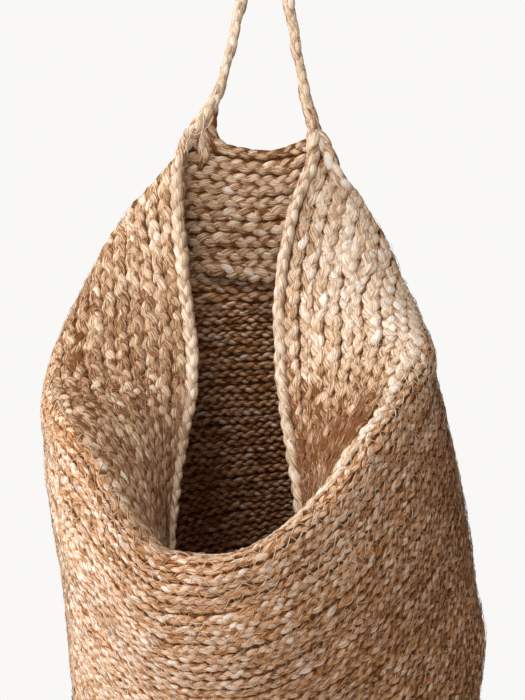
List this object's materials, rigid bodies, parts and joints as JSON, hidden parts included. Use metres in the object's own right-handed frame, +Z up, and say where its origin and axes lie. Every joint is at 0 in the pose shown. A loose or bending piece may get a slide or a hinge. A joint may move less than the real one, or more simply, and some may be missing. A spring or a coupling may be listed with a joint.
{
  "type": "hanging storage basket",
  "caption": "Slumped round storage basket of coiled hemp braid with a turned-in cuff, hung by one strap loop at the back of its rim.",
  "frame": {"origin": "underside of the top of the strap's loop, where the basket hangs", "axes": "+Z up against gravity, +X to the right and -Y to the front of the basket, as seen from its open side"},
  "size_m": [0.3774, 0.3961, 0.8209],
  "materials": {
    "base_coil_fibre": "rough natural fibre",
    "lower_wall_fibre": "rough natural fibre",
    "upper_cuff_fibre": "rough natural fibre",
    "rim_braid_fibre": "rough natural fibre",
    "back_rim_braid_fibre": "rough natural fibre",
    "thick_braid_tail_fibre": "rough natural fibre",
    "handle_loop_fibre": "rough natural fibre"
  },
  "bodies": {
    "strap": {"handle_loop": "handle_loop_fibre"},
    "basket": {"base_coil": "base_coil_fibre", "lower_wall": "lower_wall_fibre", "upper_cuff": "upper_cuff_fibre", "rim_braid": "rim_braid_fibre", "back_rim_braid": "back_rim_braid_fibre", "thick_braid_tail": "thick_braid_tail_fibre"}
  },
  "joints": [
    {"name": "strap_swing", "type": "hinge", "parent": "strap", "child": "basket", "pos_m": [0, 0, -0.1618], "axis": [1, 0, 0], "range_deg": [-100, 90]}
  ]
}
